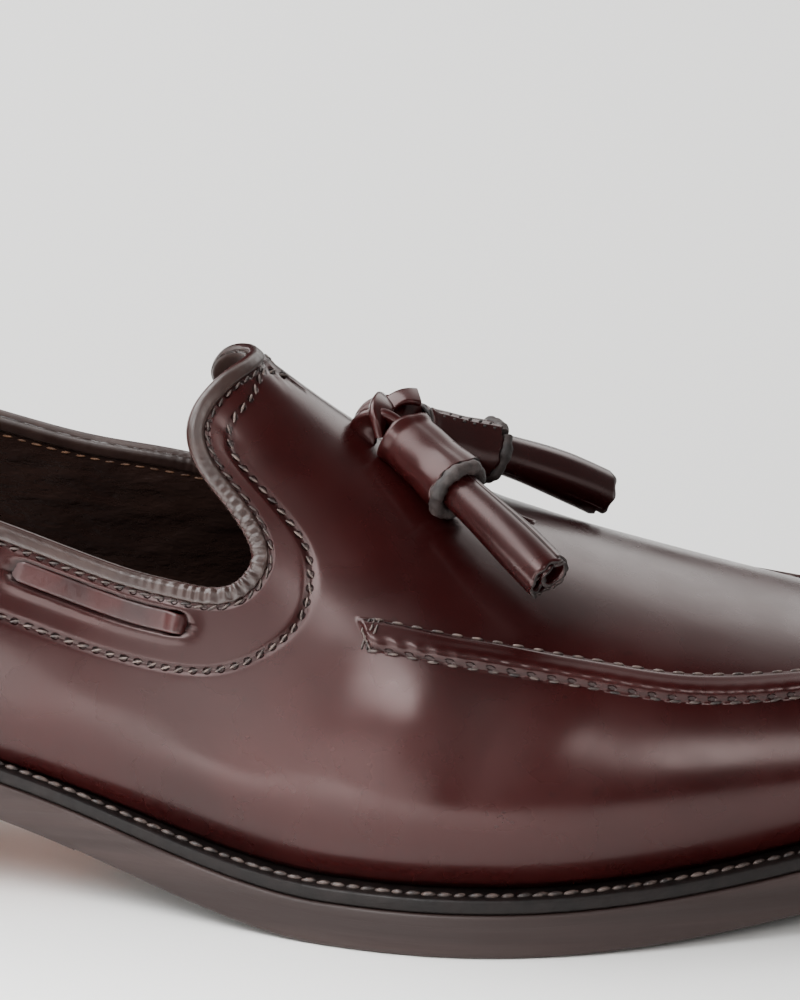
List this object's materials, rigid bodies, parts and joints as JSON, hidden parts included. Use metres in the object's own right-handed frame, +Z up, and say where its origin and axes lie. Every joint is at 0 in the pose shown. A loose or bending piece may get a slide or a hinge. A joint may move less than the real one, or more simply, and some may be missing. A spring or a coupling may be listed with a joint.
{
  "type": "tassel loafer",
  "caption": "Slip-on leather loafer for the right foot, with a raised apron seam, a bound collar threaded with a flat lace, tassels, a welted sole with rubber forepart and a stacked heel",
  "frame": {"origin": "middle of the shoe's bounding box, on the floor that it stands on", "axes": "+X to the toe, +Y to the inner side of the foot, +Z up from the floor"},
  "size_m": [0.2974, 0.1056, 0.1029],
  "materials": {
    "upper": "polished oxblood calf, darker in the creases",
    "binding": "soft satin grey-brown leather, rolled over the edge",
    "lace": "flat red-brown leather lace, satin",
    "tassel": "polished oxblood leather with raw dark cut edges",
    "lining": "near black brown lining leather, slightly glossy",
    "welt": "dark stained welt with light stitches",
    "sole_leather": "matt brown painted edge, tan leather underneath at the waist",
    "heel_leather": "stacked leather layers, matt brown",
    "rubber": "dark grey-brown ribbed rubber"
  },
  "bodies": {
    "root": {"upper": "upper", "collar_binding": "binding", "collar_lace_outer_front": "lace", "collar_lace_outer_rear": "lace", "collar_lace_inner_front": "lace", "collar_lace_inner_rear": "lace", "collar_lace_heel": "lace", "tassel_knot": "tassel", "tassel_outer": "tassel", "tassel_inner": "tassel", "insole": "lining", "welt": "welt", "outsole": "sole_leather", "forepart_rubber": "rubber", "heel_stack": "heel_leather", "heel_top_lift": "rubber"}
  },
  "joints": []
}
